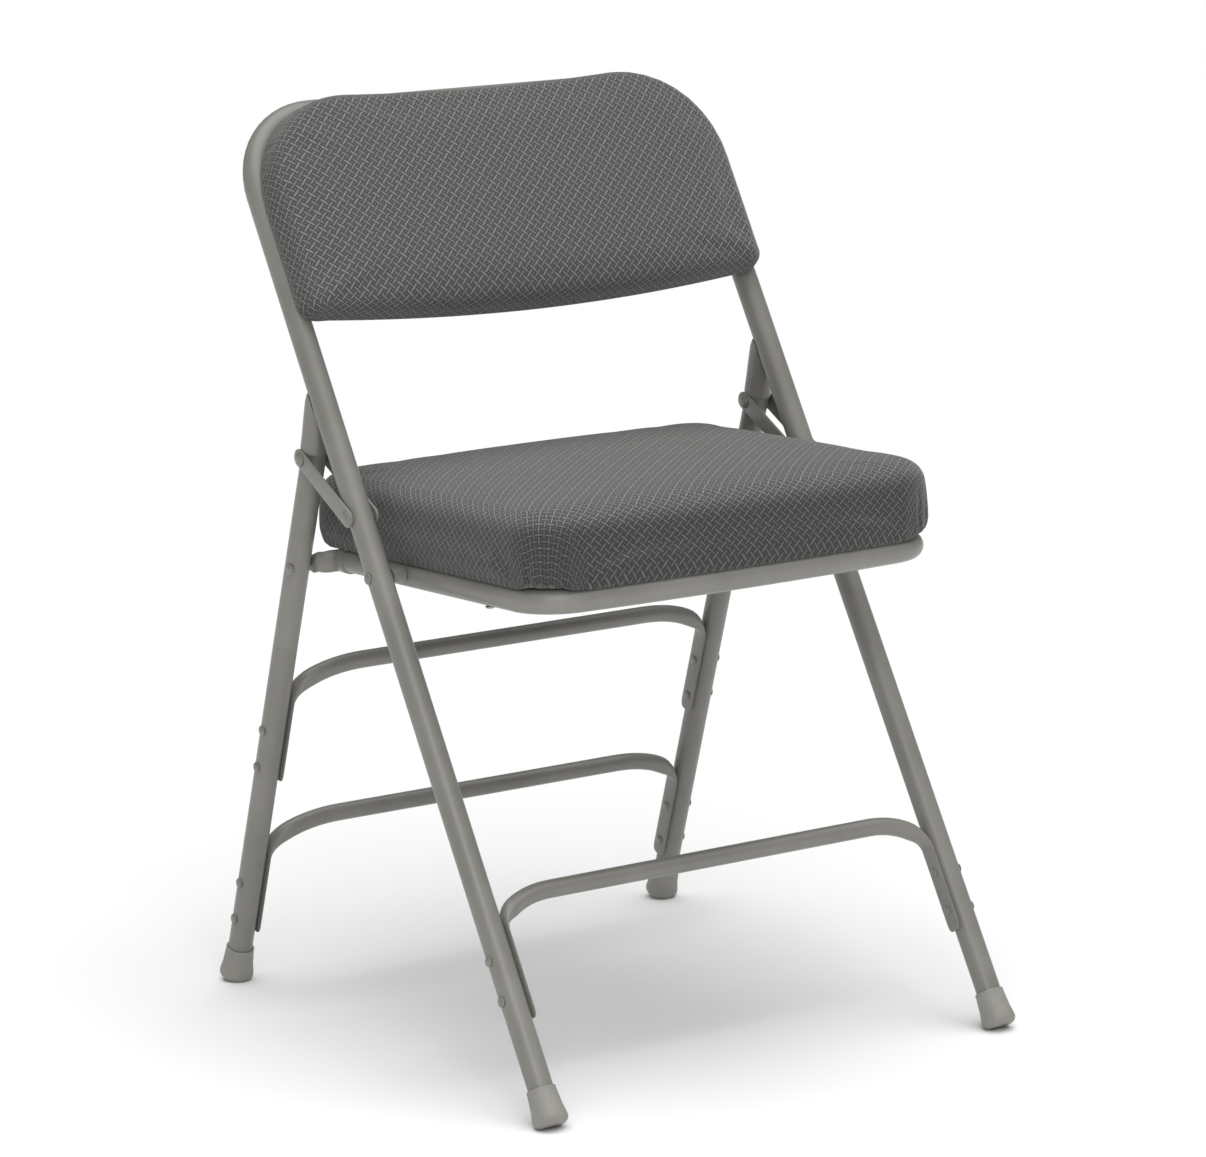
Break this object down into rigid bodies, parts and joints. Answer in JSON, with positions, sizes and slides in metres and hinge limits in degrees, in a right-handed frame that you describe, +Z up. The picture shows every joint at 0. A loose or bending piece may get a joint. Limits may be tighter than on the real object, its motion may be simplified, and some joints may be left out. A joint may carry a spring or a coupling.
{
  "type": "folding chair",
  "caption": "Steel tube folding chair with padded fabric seat and back; the seat folds up between the frame's legs.",
  "frame": {"origin": "centre of the box around the open chair, at the floor", "axes": "+X to the side, across the chair; +Y backwards, so the chair faces -Y; +Z up"},
  "size_m": [0.5092, 0.5548, 0.8207],
  "materials": {
    "frame_paint": "semi-gloss powder coat, warm grey",
    "rivet_paint": "the same coat on rivet heads and spacers",
    "foot_plastic": "satin moulded, warm grey",
    "woven_fabric": "two-tone grey basket weave",
    "plywood": "bare plywood",
    "lining_cloth": "thin black dust cover",
    "zinc_screw": "zinc plated"
  },
  "bodies": {
    "front_frame": {"back_board": "plywood", "back_cushion": "woven_fabric", "back_rear_lining": "lining_cloth", "back_screw_left_lower": "zinc_screw", "back_screw_left_upper": "zinc_screw", "back_screw_right_lower": "zinc_screw", "back_screw_right_upper": "zinc_screw", "front_brace": "frame_paint", "front_brace_rivet_left_lower": "rivet_paint", "front_brace_rivet_left_upper": "rivet_paint", "front_brace_rivet_right_lower": "rivet_paint", "front_brace_rivet_right_upper": "rivet_paint", "front_foot_left": "foot_plastic", "front_foot_right": "foot_plastic", "front_frame_tube": "frame_paint", "link_pivot_rivet_left": "rivet_paint", "link_pivot_rivet_right": "rivet_paint", "seat_pivot_rivet_left": "rivet_paint", "seat_pivot_rivet_right": "rivet_paint", "seat_pivot_spacer_left": "rivet_paint", "seat_pivot_spacer_right": "rivet_paint"},
    "seat": {"seat_board": "plywood", "seat_bottom_lining": "lining_cloth", "seat_crossbar": "frame_paint", "seat_cushion": "woven_fabric", "seat_frame_tube": "frame_paint", "seat_hinge_bracket_left": "frame_paint", "seat_hinge_bracket_right": "frame_paint", "seat_screw_left_front": "zinc_screw", "seat_screw_left_rear": "zinc_screw", "seat_screw_right_front": "zinc_screw", "seat_screw_right_rear": "zinc_screw"},
    "rear_legs": {"rear_foot_left": "foot_plastic", "rear_foot_right": "foot_plastic", "rear_leg_cap_left": "frame_paint", "rear_leg_cap_right": "frame_paint", "rear_leg_left": "frame_paint", "rear_leg_right": "frame_paint", "rear_lower_brace": "frame_paint", "rear_lower_brace_rivet_left_lower": "rivet_paint", "rear_lower_brace_rivet_left_upper": "rivet_paint", "rear_lower_brace_rivet_right_lower": "rivet_paint", "rear_lower_brace_rivet_right_upper": "rivet_paint", "rear_pivot_rivet_left": "rivet_paint", "rear_pivot_rivet_right": "rivet_paint", "rear_upper_brace": "frame_paint", "rear_upper_brace_rivet_left_lower": "rivet_paint", "rear_upper_brace_rivet_left_upper": "rivet_paint", "rear_upper_brace_rivet_right_lower": "rivet_paint", "rear_upper_brace_rivet_right_upper": "rivet_paint"},
    "left_link": {"link_left_inner": "frame_paint", "link_left_outer": "frame_paint", "link_rivet_left_inner": "rivet_paint", "link_rivet_left_outer": "rivet_paint"},
    "right_link": {"link_right_inner": "frame_paint", "link_right_outer": "frame_paint", "link_rivet_right_inner": "rivet_paint", "link_rivet_right_outer": "rivet_paint"}
  },
  "joints": [
    {"name": "seat_fold", "type": "hinge", "parent": "front_frame", "child": "seat", "pos_m": [0, -0.00425, 0.4255], "axis": [-1, 0, 0], "range_deg": [0, 106.6]},
    {"name": "rear_leg_hinge", "type": "hinge", "parent": "seat", "child": "rear_legs", "pos_m": [0, 0.1298, 0.41024], "axis": [-1, 0, 0], "range_deg": [-57.8, 0]},
    {"name": "left_link_hinge", "type": "hinge", "parent": "front_frame", "child": "left_link", "pos_m": [0, 0.02568, 0.4737], "axis": [-1, 0, 0], "range_deg": [0, 132.3]},
    {"name": "right_link_hinge", "type": "hinge", "parent": "front_frame", "child": "right_link", "pos_m": [0, 0.02568, 0.4737], "axis": [-1, 0, 0], "range_deg": [0, 132.3]}
  ],
  "couplings": [
    {"joint": "rear_leg_hinge", "follows": "seat_fold", "ratio": -0.5406},
    {"joint": "left_link_hinge", "follows": "seat_fold", "ratio": 1.2395},
    {"joint": "right_link_hinge", "follows": "seat_fold", "ratio": 1.2395}
  ]
}
